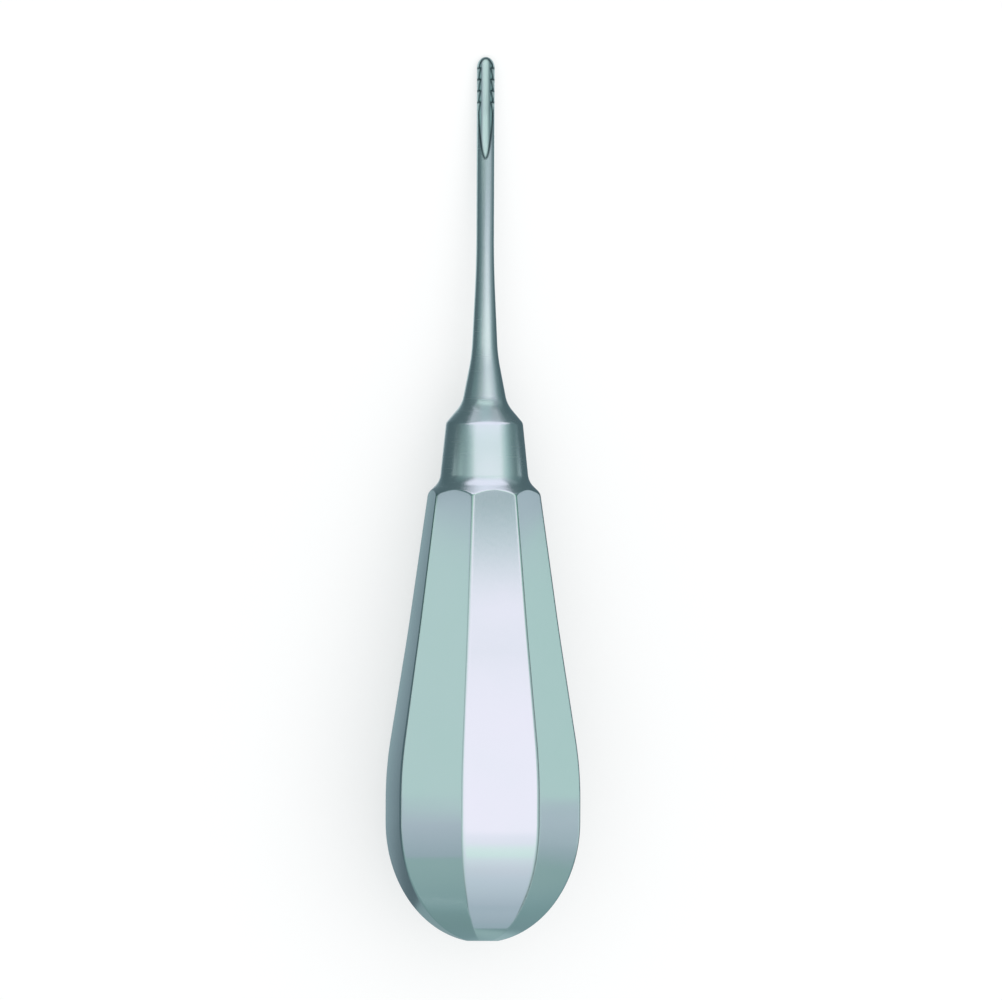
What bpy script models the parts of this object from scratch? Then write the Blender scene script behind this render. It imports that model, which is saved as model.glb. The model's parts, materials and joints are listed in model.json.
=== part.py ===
"""A dental root elevator with a barbed gouge, made in one piece of stainless steel.

It is made upright, as on a bench: the tip at the top, the gouge facing -Y, and the lathe's axis
along Z with the butt at zero. A blank is turned and the end of its shank is forged flatter. Eight
flats are ground along the handle, a channel is ground down the blade, and barbs are filed in the
channel's two lips. The finished elevator then lies on a table, its tip towards +Y.

An outline is a list of (height, radius) pairs. A place on the blade is given by its distance down
from the tip and its rise, which is how far it lies from the axis towards the gouge's open side.
"""

import math

import bmesh
import bpy
from mathutils import Matrix, Vector

MM = 0.001

# Lengths along the axis
OVERALL_LENGTH = 145.0 * MM
BUTT_LENGTH = 19.6 * MM
BELLY_LENGTH = 8.6 * MM
FLANK_LENGTH = 45.1 * MM
SHOULDER_LENGTH = 2.1 * MM
COLLAR_LENGTH = 9.6 * MM
FLARE_LENGTH = 3.1 * MM
NECK_LENGTH = 8.0 * MM
SHANK_TAPER_LENGTH = 15.0 * MM
NOSE_LENGTH = 1.8 * MM

# Radii of the turned blank
BUTT_FLAT_RADIUS = 2.6 * MM
BELLY_RADIUS = 16.25 * MM
SHOULDER_RADIUS = 9.4 * MM
COLLAR_FOOT_RADIUS = 7.3 * MM
COLLAR_TOP_RADIUS = 6.3 * MM
FLARE_RADIUS = 3.7 * MM
NECK_RADIUS = 2.15 * MM
SHANK_RADIUS = 1.45 * MM
FLANK_HOLLOW = 0.2 * MM

# Rounding of the blank's corners
BELLY_ROUND = 62.0 * MM
FLANK_ROUND = 400.0 * MM
SHOULDER_ROUND = 1.1 * MM
COLLAR_FOOT_FILLET = 3.0 * MM
COLLAR_TOP_ROUND = 1.2 * MM
FLARE_FILLET = 5.0 * MM
NECK_FILLET = 30.0 * MM
SHANK_FILLET = 200.0 * MM

# Flats of the handle, turned a little from the way that the gouge faces
FLAT_COUNT = 8
FLATS_TURN = math.radians(11.25)
LAND_WIDTH = 0.5 * MM
REST_FLAT_LENGTH = 3.0 * MM

# Forging of the shank into the blade
BLADE_LENGTH = 14.0 * MM
BLADE_FLATNESS = 0.8
EDGE_LENGTH = 4.0 * MM
EDGE_FLATNESS = 0.3
EDGE_SET_BACK = 0.43 * MM
EDGE_BLUNTNESS = 0.05 * MM

# Channel of the gouge
CHANNEL_RADIUS = 1.2 * MM
CHANNEL_LENGTH = 16.6 * MM
CHANNEL_RAMP_LENGTH = 6.9 * MM
CHANNEL_RAMP_FILLET = 15.0 * MM
CHANNEL_RISE_AT_TIP = -0.25 * MM
CHANNEL_RISE_AT_RAMP = 0.0 * MM

# Barbs along the channel's lips
BARB_COUNT = 4
FIRST_BARB = 1.65 * MM
BARB_PITCH = 1.87 * MM
BARB_DEPTH = 0.43 * MM
BARB_LEAN = 0.2 * MM
FIRST_BARB_RISE = 0.55 * MM
LAST_BARB_RISE = 0.75 * MM

# Fineness of the mesh
SIDES_PER_FLAT = 6
CHANNEL_SIDES = 28
BUTT_STEPS = 10
ROUND_STEPS = 5
NECK_STEPS = 8
NOSE_STEPS = 7
SHANK_STEPS = 8
REST_LINE_STEPS = 40
MERGE_DISTANCE = 0.001 * MM
ROUND_ROOM = 0.99
CUTTER_MARGIN = 3.0 * MM
SMOOTH_ANGLE = math.radians(22)

STEEL_COLOUR = (0.46, 0.56, 0.57, 1.0)
STEEL_ROUGHNESS = 0.28

HALF_FLAT_ANGLE = math.pi / FLAT_COUNT
FLAT_DEPTH = math.cos(HALF_FLAT_ANGLE - LAND_WIDTH / 2 / BELLY_RADIUS)
BACK_FLAT_ANGLE = math.pi / 2 + FLATS_TURN

BELLY_HEIGHT = BUTT_LENGTH + BELLY_LENGTH
SHOULDER_HEIGHT = BELLY_HEIGHT + FLANK_LENGTH
COLLAR_FOOT_HEIGHT = SHOULDER_HEIGHT + SHOULDER_LENGTH
COLLAR_TOP_HEIGHT = COLLAR_FOOT_HEIGHT + COLLAR_LENGTH
FLARE_HEIGHT = COLLAR_TOP_HEIGHT + FLARE_LENGTH
NECK_HEIGHT = FLARE_HEIGHT + NECK_LENGTH
SHANK_HEIGHT = NECK_HEIGHT + SHANK_TAPER_LENGTH
BLADE_HEIGHT = OVERALL_LENGTH - BLADE_LENGTH
NOSE_HEIGHT = OVERALL_LENGTH - NOSE_LENGTH


def clear_scene():
    for thing in list(bpy.data.objects):
        bpy.data.objects.remove(thing)


def mix(start, end, share):
    return start + (end - start) * share


def even_shares(steps):
    return [step / steps for step in range(steps + 1)]


def turn_at(before, corner, after):
    return (corner - before).angle(after - corner)


def rounded_outline(corners, rounds):
    """Straight lines between the corners, with each inner corner rounded.

    A round is a radius and the shares of the turn at which its arc has a point.
    """
    reaches = [0.0]
    for index, (radius, _) in enumerate(rounds, start=1):
        reaches.append(radius * math.tan(turn_at(*corners[index - 1 : index + 2]) / 2))
    reaches.append(0.0)
    points = [corners[0]]
    for index, (_, shares) in enumerate(rounds, start=1):
        before, corner, after = corners[index - 1 : index + 2]
        reach = min(
            reach_on(corner - before, reaches[index], reaches[index - 1]),
            reach_on(after - corner, reaches[index], reaches[index + 1]),
        )
        points += arc_in_corner(before, corner, after, reach, shares)
    return points + [corners[-1]]


def reach_on(line, reach, other_reach):
    """How much of a line a round takes up, which is less where the next round would meet it."""
    return reach * min(1.0, ROUND_ROOM * line.length / (reach + other_reach))


def arc_in_corner(before, corner, after, reach, shares):
    """The arc that leaves the first line at this reach before the corner."""
    way_back = (before - corner).normalized()
    way_on = (after - corner).normalized()
    turn = turn_at(before, corner, after)
    centre = corner + (way_back + way_on).normalized() * (reach / math.sin(turn / 2))
    spoke = corner + way_back * reach - centre
    last_spoke = corner + way_on * reach - centre
    sweep = math.atan2(spoke.cross(last_spoke), spoke.dot(last_spoke))
    return [centre + Matrix.Rotation(sweep * share, 2) @ spoke for share in shares]


def butt_dome():
    """Part of a half ellipse, from the small flat at the butt out to the belly."""
    first = math.asin(BUTT_FLAT_RADIUS / BELLY_RADIUS)
    depth = BUTT_LENGTH / math.cos(first)
    angles = [mix(first, math.pi / 2, share) for share in even_shares(BUTT_STEPS)]
    return [Vector((BUTT_LENGTH - depth * math.cos(a), BELLY_RADIUS * math.sin(a))) for a in angles]


def flank_corners():
    """The end of the cylinder at the belly, the middle of the slightly hollow flank, and the shoulder."""
    belly = Vector((BELLY_HEIGHT, BELLY_RADIUS))
    shoulder = Vector((SHOULDER_HEIGHT, SHOULDER_RADIUS))
    return [belly, (belly + shoulder) / 2 - Vector((0, FLANK_HOLLOW)), shoulder]


def handle_rounds(belly_shares):
    return [(BELLY_ROUND, belly_shares), (FLANK_ROUND, even_shares(3))]


def blank_outline(belly_shares):
    """The whole turned outline, from the flat at the butt to the tip."""
    dome = butt_dome()
    corners = [dome[-1]] + flank_corners()
    corners += [
        Vector((COLLAR_FOOT_HEIGHT, COLLAR_FOOT_RADIUS)),
        Vector((COLLAR_TOP_HEIGHT, COLLAR_TOP_RADIUS)),
        Vector((FLARE_HEIGHT, FLARE_RADIUS)),
        Vector((NECK_HEIGHT, NECK_RADIUS)),
        Vector((SHANK_HEIGHT, SHANK_RADIUS)),
        Vector((NOSE_HEIGHT, SHANK_RADIUS)),
    ]
    rounds = handle_rounds(belly_shares) + [
        (SHOULDER_ROUND, even_shares(ROUND_STEPS)),
        (COLLAR_FOOT_FILLET, even_shares(ROUND_STEPS)),
        (COLLAR_TOP_ROUND, even_shares(ROUND_STEPS)),
        (FLARE_FILLET, even_shares(ROUND_STEPS)),
        (NECK_FILLET, even_shares(NECK_STEPS)),
        (SHANK_FILLET, even_shares(ROUND_STEPS)),
    ]
    smooth = rounded_outline(corners, rounds)
    return dome[:-1] + smooth[:-1] + shank_rings(smooth[-2].x) + nose()


def shank_rings(start):
    """Points along the straight shank, for the forging to bend."""
    heights = [mix(start, NOSE_HEIGHT, share) for share in even_shares(SHANK_STEPS)]
    return [Vector((height, SHANK_RADIUS)) for height in heights[1:-1]]


def nose():
    """A quarter ellipse from the blade's side to the tip."""
    angles = [share * math.pi / 2 for share in even_shares(NOSE_STEPS)]
    points = [Vector((NOSE_HEIGHT + NOSE_LENGTH * math.sin(a), SHANK_RADIUS * math.cos(a))) for a in angles]
    points[-1].y = 0
    return points


def barrel_outline(belly_shares):
    """The way the flats follow the handle, out past the shoulder, then wide open to clear the rest."""
    dome = butt_dome()
    handle = dome[:-1] + rounded_outline([dome[-1]] + flank_corners(), handle_rounds(belly_shares))
    corner_share = FLAT_DEPTH / math.cos(HALF_FLAT_ANGLE)
    slope = (handle[-1].y - handle[-2].y) / (handle[-1].x - handle[-2].x)
    handle[-1] += Vector((SHOULDER_LENGTH, slope * SHOULDER_LENGTH))
    outline = [Vector((height, radius * corner_share)) for height, radius in handle]
    outline[0] -= Vector((CUTTER_MARGIN, 0))
    outline[0].y = outline[1].y
    wide = BELLY_RADIUS + CUTTER_MARGIN
    top = OVERALL_LENGTH + CUTTER_MARGIN
    outline += [Vector((COLLAR_FOOT_HEIGHT, wide)), Vector((top, wide)), Vector((top, 0))]
    return [Vector((outline[0].x, 0))] + outline


def blade_section(height):
    """How flat the section is here, and how far its middle lies behind the axis."""
    share = min(max((height - SHANK_HEIGHT) / (BLADE_HEIGHT - SHANK_HEIGHT), 0.0), 1.0)
    flatness = mix(1.0, BLADE_FLATNESS, share * share * (3 - 2 * share))
    edge = max(0.0, 1 - (OVERALL_LENGTH - height) / EDGE_LENGTH) ** 2
    return mix(flatness, EDGE_FLATNESS, edge), EDGE_SET_BACK * edge


def new_object(name, shape):
    bmesh.ops.remove_doubles(shape, verts=shape.verts, dist=MERGE_DISTANCE)
    bmesh.ops.recalc_face_normals(shape, faces=shape.faces)
    mesh = bpy.data.meshes.new(name)
    shape.to_mesh(mesh)
    shape.free()
    thing = bpy.data.objects.new(name, mesh)
    bpy.context.scene.collection.objects.link(thing)
    return thing


def spun(outline, steps, first_angle):
    """The outline turned about Z in this many steps, so that few steps leave flats."""
    shape = bmesh.new()
    start = Matrix.Rotation(first_angle, 4, "Z")
    verts = [shape.verts.new(start @ Vector((radius, 0, height))) for height, radius in outline]
    edges = [shape.edges.new(pair) for pair in zip(verts, verts[1:])]
    full_turn = dict(axis=(0, 0, 1), cent=(0, 0, 0), angle=2 * math.pi, use_merge=True)
    bmesh.ops.spin(shape, geom=verts + edges, steps=steps, **full_turn)
    return shape


def make_blank(outline):
    """The turned blank, with a narrow side where two flats will meet and with its blade forged."""
    sides = FLAT_COUNT * SIDES_PER_FLAT
    first_angle = BACK_FLAT_ANGLE + HALF_FLAT_ANGLE + math.pi / sides
    shape = spun([Vector((0, 0))] + outline, sides, first_angle)
    for vert in shape.verts:
        flatness, set_back = blade_section(vert.co.z)
        vert.co.y = vert.co.y * flatness + set_back
    return new_object("root_elevator", shape)


def make_barrel(belly_shares):
    """What is left of the space round the axis when the flats are ground."""
    outline = barrel_outline(belly_shares)
    return new_object("flats_barrel", spun(outline, FLAT_COUNT, BACK_FLAT_ANGLE + HALF_FLAT_ANGLE))


def channel_path():
    """The channel's floor as (height, rise): along the blade, then up the ramp and out of the metal."""
    flatness, _ = blade_section(OVERALL_LENGTH - CHANNEL_LENGTH)
    tip = Vector((OVERALL_LENGTH, CHANNEL_RISE_AT_TIP))
    ramp_foot = Vector((OVERALL_LENGTH - CHANNEL_LENGTH + CHANNEL_RAMP_LENGTH, CHANNEL_RISE_AT_RAMP))
    run_out = Vector((OVERALL_LENGTH - CHANNEL_LENGTH, SHANK_RADIUS * flatness))
    before_tip = tip + (tip - ramp_foot).normalized() * CUTTER_MARGIN
    past_run_out = run_out + (run_out - ramp_foot).normalized() * CUTTER_MARGIN
    bend = [(CHANNEL_RAMP_FILLET, even_shares(ROUND_STEPS))]
    return rounded_outline([before_tip, ramp_foot, past_run_out], bend)


def make_channel_wheel():
    """A round bar along the channel's path: what the grinding wheel takes away."""
    path = [Vector((0, -rise - CHANNEL_RADIUS, height)) for height, rise in channel_path()]
    shape = bmesh.new()
    start = Matrix.Translation(path[0])
    bmesh.ops.create_circle(shape, radius=CHANNEL_RADIUS, segments=CHANNEL_SIDES, matrix=start)
    rim = list(shape.edges)
    for step in (end - start for start, end in zip(path, path[1:])):
        grown = bmesh.ops.extrude_edge_only(shape, edges=rim)["geom"]
        rim = [item for item in grown if isinstance(item, bmesh.types.BMEdge)]
        bmesh.ops.translate(shape, vec=step, verts=list({vert for edge in rim for vert in edge.verts}))
    bmesh.ops.holes_fill(shape, edges=shape.edges)
    return new_object("channel_wheel", shape)


def lip_line():
    """The filed lips seen from the side, as (distance from the tip, rise)."""
    edge = Vector((0, EDGE_BLUNTNESS - EDGE_SET_BACK))
    barbs = []
    for index in range(BARB_COUNT):
        rise = mix(FIRST_BARB_RISE, LAST_BARB_RISE, index / max(1, BARB_COUNT - 1))
        point = Vector((FIRST_BARB + index * BARB_PITCH, rise))
        barbs += [point, point + Vector((BARB_LEAN, -BARB_DEPTH))]
    clear = SHANK_RADIUS + CUTTER_MARGIN
    before_edge = edge - (barbs[0] - edge) * (CUTTER_MARGIN / FIRST_BARB)
    slope = BARB_DEPTH / (BARB_PITCH - BARB_LEAN)
    run_out = Vector((barbs[-1].x + (clear - barbs[-1].y) / slope, clear))
    return [before_edge] + barbs + [run_out, Vector((before_edge.x, clear))]


def make_lip_file():
    """A bar with the side view of the filed lips, across the blade: what the file takes away."""
    shape = bmesh.new()
    wide = SHANK_RADIUS + CUTTER_MARGIN
    verts = [shape.verts.new((-wide, -rise, OVERALL_LENGTH - place)) for place, rise in lip_line()]
    side = shape.faces.new(verts)
    grown = bmesh.ops.extrude_face_region(shape, geom=[side])["geom"]
    far_side = [item for item in grown if isinstance(item, bmesh.types.BMVert)]
    bmesh.ops.translate(shape, vec=(2 * wide, 0, 0), verts=far_side)
    return new_object("lip_file", shape)


def cut(blank, cutter, operation):
    """Shapes the blank with the cutter and clears the cutter away."""
    modifier = blank.modifiers.new(cutter.name, "BOOLEAN")
    modifier.operation = operation
    modifier.object = cutter
    graph = bpy.context.evaluated_depsgraph_get()
    shaped = bpy.data.meshes.new_from_object(blank.evaluated_get(graph))
    blank.modifiers.clear()
    blank.data = shaped
    bpy.data.objects.remove(cutter)


def underside(outline):
    """How far below the axis the elevator reaches at each height, lying on its back flat."""
    reaches = []
    for height, radius in outline:
        if height < SHOULDER_HEIGHT:
            reaches.append((height, radius * FLAT_DEPTH))
            continue
        flatness, set_back = blade_section(height)
        across = radius * math.sin(FLATS_TURN)
        back = radius * flatness * math.cos(FLATS_TURN)
        reaches.append((height, math.hypot(across, back) + set_back * math.cos(FLATS_TURN)))
    return reaches


def balance_height(outline):
    """Height of the centre of mass, taking the blank as a stack of cones."""
    volume = moment = 0.0
    for (low, wide), (high, narrow) in zip(outline, outline[1:]):
        part = (high - low) * (wide * wide + wide * narrow + narrow * narrow)
        volume += part
        moment += part * (low + high) / 2
    return moment / volume


def resting_slope(outline):
    """Slope of the axis on the table, touching on both sides of the centre of mass."""
    balance = balance_height(outline)
    reaches = underside(outline)
    lowest, slope = 0.0, 0.0
    for back, deep in (pair for pair in reaches if pair[0] <= balance):
        for front, shallow in (pair for pair in reaches if pair[0] > balance):
            drop = (deep - shallow) / (front - back)
            below_balance = deep - drop * (balance - back)
            if below_balance > lowest:
                lowest, slope = below_balance, drop
    return slope


def belly_breaks(slope):
    """Where the belly's arc has points, so that one of its chords lies flat on the table."""
    belly, middle, _ = flank_corners()
    whole = math.atan2(belly.y - middle.y, middle.x - belly.x)
    rest = math.atan(slope / FLAT_DEPTH)
    half_chord = math.asin(REST_FLAT_LENGTH / 2 / BELLY_ROUND)
    first = (rest - half_chord) / whole
    last = (rest + half_chord) / whole
    return [0, first / 3, first * 2 / 3, first, last, 1]


def lay_down(elevator, slope):
    """Lays it on its back flat, tip towards +Y, the middle of its box over the origin."""
    turn = Matrix.Rotation(-math.pi / 2 - math.atan(slope), 4, "X") @ Matrix.Rotation(-FLATS_TURN, 4, "Z")
    laid = [turn @ vert.co for vert in elevator.data.vertices]
    lows = [min(point[axis] for point in laid) for axis in range(3)]
    highs = [max(point[axis] for point in laid) for axis in range(3)]
    middle = Vector(((lows[0] + highs[0]) / 2, (lows[1] + highs[1]) / 2, lows[2]))
    elevator.matrix_world = Matrix.Translation(-middle) @ turn


def finish_steel(elevator):
    steel = bpy.data.materials.new("satin_steel")
    steel.use_nodes = True
    shader = steel.node_tree.nodes["Principled BSDF"]
    shader.inputs["Base Color"].default_value = STEEL_COLOUR
    shader.inputs["Metallic"].default_value = 1.0
    shader.inputs["Roughness"].default_value = STEEL_ROUGHNESS
    elevator.data.materials.clear()
    elevator.data.materials.append(steel)
    elevator.data.shade_smooth()
    elevator.data.set_sharp_from_angle(angle=SMOOTH_ANGLE)


def main():
    clear_scene()
    slope = resting_slope(blank_outline(even_shares(REST_LINE_STEPS)))
    breaks = belly_breaks(slope)
    elevator = make_blank(blank_outline(breaks))
    cut(elevator, make_barrel(breaks), "INTERSECT")
    cut(elevator, make_channel_wheel(), "DIFFERENCE")
    cut(elevator, make_lip_file(), "DIFFERENCE")
    lay_down(elevator, slope)
    finish_steel(elevator)


main()
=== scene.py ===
"""A dental root elevator of satin steel, lying on a pale studio floor.

The elevator is made upright, as on a bench: its tip at the top, its gouge facing -Y and the lathe's
axis along Z with the butt at zero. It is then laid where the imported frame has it. An outline is a
list of (height, radius) points, and a rise is a distance from the axis towards the gouge's open side.
"""

import json
import math

import bmesh
import bpy
from bpy.props import FloatProperty, FloatVectorProperty, IntProperty, PointerProperty
from bpy.types import Operator, Panel, PropertyGroup
from mathutils import Matrix, Vector
from mathutils.kdtree import KDTree


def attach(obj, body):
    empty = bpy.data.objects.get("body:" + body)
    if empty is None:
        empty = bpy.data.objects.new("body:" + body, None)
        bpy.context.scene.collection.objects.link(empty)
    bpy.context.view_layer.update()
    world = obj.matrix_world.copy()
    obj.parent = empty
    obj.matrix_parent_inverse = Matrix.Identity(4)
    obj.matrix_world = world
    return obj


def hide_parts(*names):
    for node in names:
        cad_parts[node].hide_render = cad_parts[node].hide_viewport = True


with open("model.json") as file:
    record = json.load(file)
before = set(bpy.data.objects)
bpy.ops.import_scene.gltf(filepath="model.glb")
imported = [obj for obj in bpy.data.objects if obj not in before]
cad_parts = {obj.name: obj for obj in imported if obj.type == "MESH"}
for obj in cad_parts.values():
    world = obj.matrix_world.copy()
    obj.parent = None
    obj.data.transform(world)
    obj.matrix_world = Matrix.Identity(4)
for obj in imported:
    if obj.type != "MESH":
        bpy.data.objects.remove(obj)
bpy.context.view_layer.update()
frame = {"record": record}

bl_info = {
    "name": "Dental Root Elevator",
    "version": (1, 0, 0),
    "blender": (4, 5, 0),
    "location": "View3D > Sidebar > Elevator",
    "description": "Makes a dental root elevator with a barbed gouge, and a studio to show it in",
    "category": "Add Mesh",
}

MM = 0.001
NODE = "root_elevator"
MOUNTS = {mount["name"]: mount for mount in frame["record"]["mounts"]}
BUTT = Vector(MOUNTS["butt_face"]["pos_m"])
ALONG = -Vector(MOUNTS["butt_face"]["axis"]).normalized()
IMAGE_WIDTH = 1002
IMAGE_HEIGHT = 1000

# Fineness of the meshes
SIDES_PER_FLAT = 24
DOME_STEPS = 36
ROUND_STEPS = 14
NOSE_STEPS = 20
CHANNEL_SIDES = 96
RAMP_STEPS = 16
HANDLE_GAP = 2.0 * MM
SHOULDER_GAP = 0.07 * MM
SHANK_GAP = 0.8 * MM
BLADE_GAP = 0.2 * MM
CHANNEL_GAP = 0.2 * MM
LIP_GAP = 0.12 * MM
MERGE_DISTANCE = 0.0005 * MM
CUTTER_MARGIN = 3.0 * MM
GOUGE_MARGIN = 1.0 * MM
SHARP_ANGLE = math.radians(28)

# Which tool left a face, kept as its material's number until the edges are marked
TURNED = 0
CHANNELLED = 1
FILED = 2

# The steel: its patterns' scales are in waves per metre
LINES_ACROSS = 9000
LINES_ALONG = 120
CLOUD_SCALE = 90
TURNED_LINES = (0.35, 0.65)
ROUGHNESS_SPREAD = 0.03
LINE_HEIGHT = 0.05 * MM
# Least painted shade over the filed faces, which would otherwise reflect the box brightly
FILED_SHADE = 0.35
# How far below the shoulder the painted shade on the lands reaches
LAND_SHADE_REACH = 36 * MM

# The stage: a flag's rim lies off the outline by a length and a share of the radius there
HANDLE_FLAG_GAP = (0.0, -0.03)
SHANK_FLAG_GAP = (4.4 * MM, -0.45)
HANDLE_RIM_DARKNESS = 0.0
SHANK_RIM_DARKNESS = 0.4
FLAG_DARKNESS = 0.6
FLAG_HEIGHT = 0.3 * MM
FLAG_REACH = 0.055
WIDE_FLAG_REACH = 0.12
WIDE_FLAG_END = 20 * MM
HORIZON_TOP = 0.12
CEILING_FOOT = 0.62
FILL_SIZE = 3.0
FILL_HEIGHT = 1.5
CAMERA_DISTANCE = 0.5
WHITE = (1, 1, 1)

# Tones of the stage's cards, as (place along an axis, colour), and shares that such tones are multiplied by
BOX_TONES = (
    (-0.62, (0.80, 0.75, 0.86)),
    (-0.474, (0.85, 0.79, 0.90)),
    (-0.336, (0.95, 0.87, 0.98)),
    (-0.255, (1.03, 0.93, 1.05)),
    (-0.199, (1.15, 0.99, 1.11)),
    (-0.153, (1.28, 1.12, 1.22)),
    (-0.134, (1.29, 1.27, 1.23)),
    (-0.110, (1.38, 1.29, 1.29)),
    (-0.092, (1.57, 1.25, 1.41)),
    (-0.069, (1.64, 1.29, 1.46)),
    (-0.052, (1.82, 1.38, 1.56)),
)
SHADE_TONES = (
    (0.25, (0.0, 0.03, 0.02)),
    (0.62, (0.36, 0.52, 0.49)),
    (0.85, (0.58, 0.73, 0.68)),
    (1.03, WHITE),
)
FLAG_TONES = (
    (0.0, (0.52, 0.60, 0.62)),
    (0.3, (0.37, 0.42, 0.45)),
    (0.6, (0.16, 0.20, 0.22)),
)
LEFT_TONES = (
    (-0.45, (0.42, 0.52, 0.53)),
    (-0.30, (0.44, 0.54, 0.55)),
    (-0.15, (0.54, 0.63, 0.63)),
    (-0.133, (0.54, 0.63, 0.63)),
    (-0.129, (0.63, 0.63, 0.71)),
    (-0.047, (0.84, 0.78, 0.88)),
    (-0.043, (0.93, 0.985, 0.965)),
    (0.0425, (0.93, 0.985, 0.965)),
    (0.0445, (0.88, 0.83, 0.92)),
    (0.055, (0.66, 0.64, 0.74)),
    (0.080, (0.60, 0.60, 0.70)),
)
COLLAR_TONES = (
    (0.0223, (1.35, 1.03, 1.24)),
    (0.0227, (1.08, 1.30, 1.08)),
    (0.0270, (1.08, 1.30, 1.08)),
    (0.0285, (0.75, 0.80, 0.82)),
    (0.0305, (0.75, 0.75, 0.80)),
    (0.0370, (1.90, 1.66, 1.62)),
)
COLLAR_SHARES = (
    (-0.055, (0.67, 0.74, 0.73)),
    (-0.042, WHITE),
    (0.036, WHITE),
    (0.050, (0.65, 0.73, 0.73)),
)
COLLAR_LEFT_TONES = (
    (0.008, (0.18, 0.227, 0.254)),
    (0.013, (0.25, 0.325, 0.335)),
    (0.0255, (0.31, 0.40, 0.41)),
    (0.0315, (0.38, 0.48, 0.49)),
    (0.042, (0.58, 0.68, 0.69)),
    (0.058, (0.91, 0.97, 0.96)),
)
COLLAR_RIGHT_TONES = (
    (0.014, (0.21, 0.266, 0.29)),
    (0.0215, (0.235, 0.30, 0.313)),
    (0.0285, (0.305, 0.38, 0.39)),
    (0.035, (0.38, 0.48, 0.49)),
    (0.042, (0.51, 0.61, 0.62)),
    (0.050, (0.66, 0.76, 0.75)),
    (0.060, (0.88, 0.95, 0.94)),
)
SHANK_TONES = (
    (0.037, (2.05, 1.75, 1.70)),
    (0.042, (2.05, 1.72, 1.68)),
    (0.0445, (1.52, 1.30, 1.40)),
    (0.0465, (1.25, 1.07, 1.21)),
    (0.048, (1.12, 0.94, 1.10)),
    (0.054, (0.97, 0.83, 1.00)),
    (0.0596, (0.70, 0.65, 0.77)),
    (0.064, (0.34, 0.44, 0.42)),
    (0.0735, (0.22, 0.32, 0.31)),
)
SHANK_SHARES = (
    (-0.055, (0.25, 0.31, 0.31)),
    (-0.035, (0.36, 0.42, 0.42)),
    (-0.017, (0.60, 0.65, 0.65)),
    (-0.004, (0.85, 0.87, 0.87)),
    (0.008, WHITE),
    (0.038, (0.93, 0.93, 0.93)),
    (0.050, (0.70, 0.73, 0.73)),
)
SHANK_LEFT_TONES = (
    (0.023, (0.17, 0.22, 0.235)),
    (0.040, (0.21, 0.26, 0.28)),
    (0.060, (0.31, 0.37, 0.39)),
)
SHANK_RIGHT_TONES = (
    (0.012, (0.27, 0.32, 0.34)),
    (0.029, (0.43, 0.45, 0.49)),
    (0.048, (0.70, 0.67, 0.74)),
    (0.060, (0.85, 0.80, 0.90)),
)
BLADE_LEFT_TONES = (
    (0.010, (0.22, 0.28, 0.30)),
    (0.025, (0.35, 0.42, 0.43)),
    (0.040, (0.75, 0.83, 0.82)),
    (0.060, (1.20, 1.25, 1.20)),
)
SIDE_SHARES = (
    (0.037, (1.3, 1.25, 1.25)),
    (0.048, (1.25, 1.2, 1.2)),
    (0.056, WHITE),
    (0.105, (0.85, 0.85, 0.85)),
)
BLADE_TONES = ((0.0745, (1.46, 1.49, 1.40)), (0.105, (1.46, 1.49, 1.40)))
BLADE_SHARES = (
    (-0.055, (0.95, 0.97, 0.97)),
    (-0.024, (1.07, 1.08, 1.08)),
    (0.010, (1.03, 1.02, 1.03)),
    (0.028, (0.98, 0.97, 0.98)),
    (0.050, (0.78, 0.80, 0.80)),
)
COLLAR_SIDE_SHARES = (
    (0.0155, (0.50, 0.52, 0.52)),
    (0.022, (0.72, 0.74, 0.74)),
    (0.030, WHITE),
)
FOOT_TONES = (
    (0.0290, (1.62, 1.28, 1.49)),
    (0.0305, (1.15, 1.0, 1.15)),
)
REAR_TONES = (
    (-0.22, (0.50, 0.59, 0.60)),
    (-0.10, (0.44, 0.54, 0.55)),
    (-0.065, (0.38, 0.48, 0.487)),
    (-0.018, (0.35, 0.443, 0.448)),
    (-0.002, (0.36, 0.45, 0.46)),
    (0.008, (0.56, 0.65, 0.65)),
    (0.013, (0.56, 0.65, 0.65)),
    (0.019, (0.36, 0.45, 0.46)),
    (0.042, (0.38, 0.487, 0.49)),
    (0.062, (0.44, 0.54, 0.55)),
    (0.089, (0.50, 0.593, 0.59)),
)
WALL_TONES = ((0.03, (0.70, 0.68, 0.77)), (0.15, (0.76, 0.73, 0.83)))
COOL_TONES = ((0.0045, (0.88, 0.83, 0.92)), (0.030, (0.60, 0.60, 0.70)))
DIM_TONES = ((-0.094, (0.62, 0.62, 0.70)), (-0.0505, (0.84, 0.78, 0.88)))

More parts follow.
